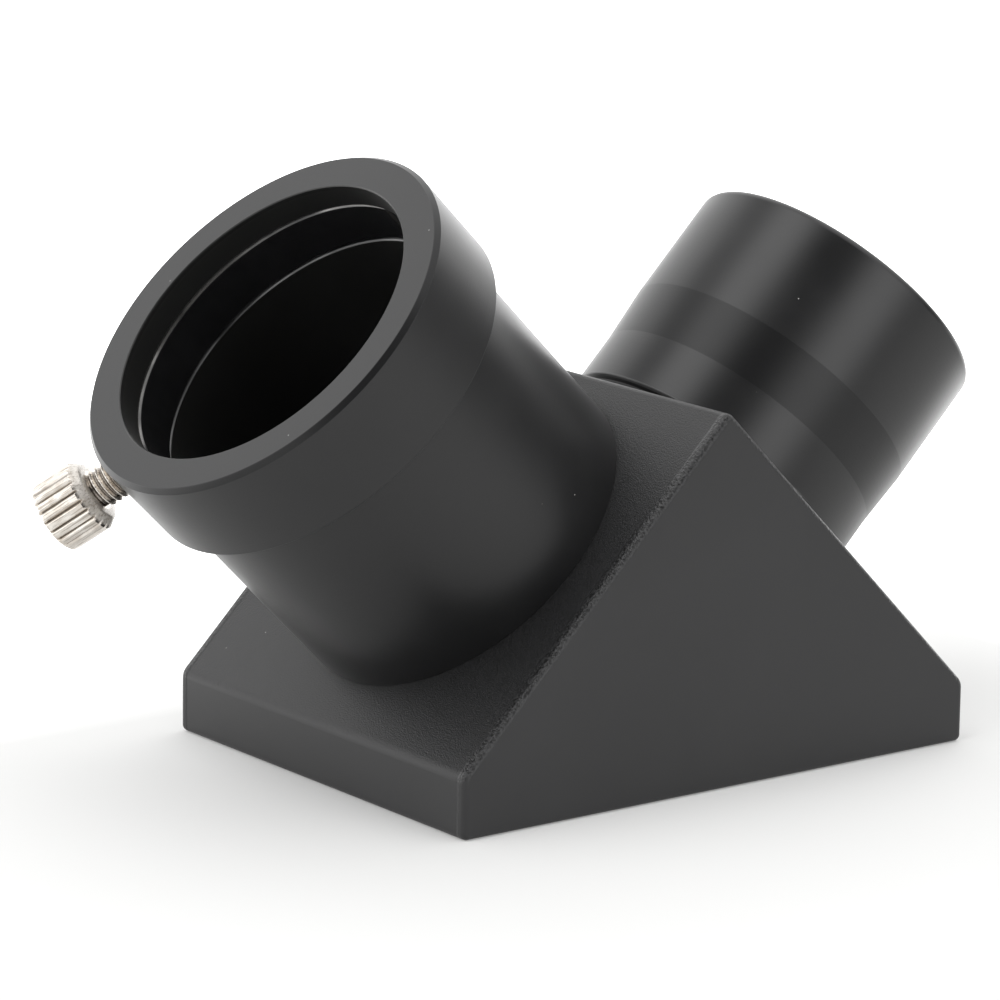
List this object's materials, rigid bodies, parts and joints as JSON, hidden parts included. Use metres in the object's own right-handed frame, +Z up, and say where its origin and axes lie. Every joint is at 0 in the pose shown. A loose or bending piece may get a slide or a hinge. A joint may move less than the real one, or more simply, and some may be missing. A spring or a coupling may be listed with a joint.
{
  "type": "star diagonal",
  "caption": "Right-angle star diagonal: a flat mirror turns the light from a push-in nosepiece up into an eyepiece holder with a clamp screw.",
  "frame": {"origin": "centre of the flat base that the part stands on, midway between the end walls and the side faces", "axes": "+Z up from the base; +X towards the nosepiece side, -X towards the eyepiece side; Y across the flat side faces; both tube axes lie in the plane y = 0, 45 degrees above the base"},
  "size_m": [0.0954, 0.0464, 0.0589],
  "materials": {
    "body_paint": "satin black stoved coating on cast aluminium, finely pebbled on the slopes and ground smooth on the flat sides",
    "tube_anodise": "satin black anodised, turned",
    "cover_anodise": "matt black anodised plate",
    "ring_bronze": "blackened spring bronze",
    "screw_nickel": "nickel-plated brass, knurled",
    "screw_steel": "black oxide steel",
    "spring_steel": "plain spring steel strip",
    "mirror_glass": "first-surface aluminised flat",
    "pad_rubber": "matt black rubber",
    "tip_nylon": "natural nylon"
  },
  "bodies": {
    "diagonal_body": {"housing": "body_paint", "base_cover": "cover_anodise", "cover_screws": "screw_steel", "mirror_carrier": "cover_anodise", "mirror": "mirror_glass", "mirror_clip_left": "spring_steel", "mirror_clip_right": "spring_steel", "clip_screws": "screw_steel", "mirror_pad_1": "pad_rubber", "mirror_pad_2": "pad_rubber", "mirror_pad_3": "pad_rubber", "eyepiece_holder": "tube_anodise", "clamp_ring": "ring_bronze", "nosepiece": "tube_anodise"},
    "pressure_tip": {"thumbscrew_tip": "tip_nylon"},
    "clamp_screw": {"thumbscrew": "screw_nickel"}
  },
  "joints": [
    {"name": "screw_advance", "type": "slide", "parent": "diagonal_body", "child": "pressure_tip", "axis": [-0.5721, 0.5878, -0.5721], "range_m": [-0.00035, 0.0014]},
    {"name": "screw_turn", "type": "hinge", "parent": "pressure_tip", "child": "clamp_screw", "pos_m": [-0.04607, 0.01352, 0.02789], "axis": [-0.5721, 0.5878, -0.5721], "range_deg": [-180, 720]}
  ],
  "couplings": [
    {"joint": "screw_turn", "follows": "screw_advance", "rad_per_m": 8976}
  ]
}
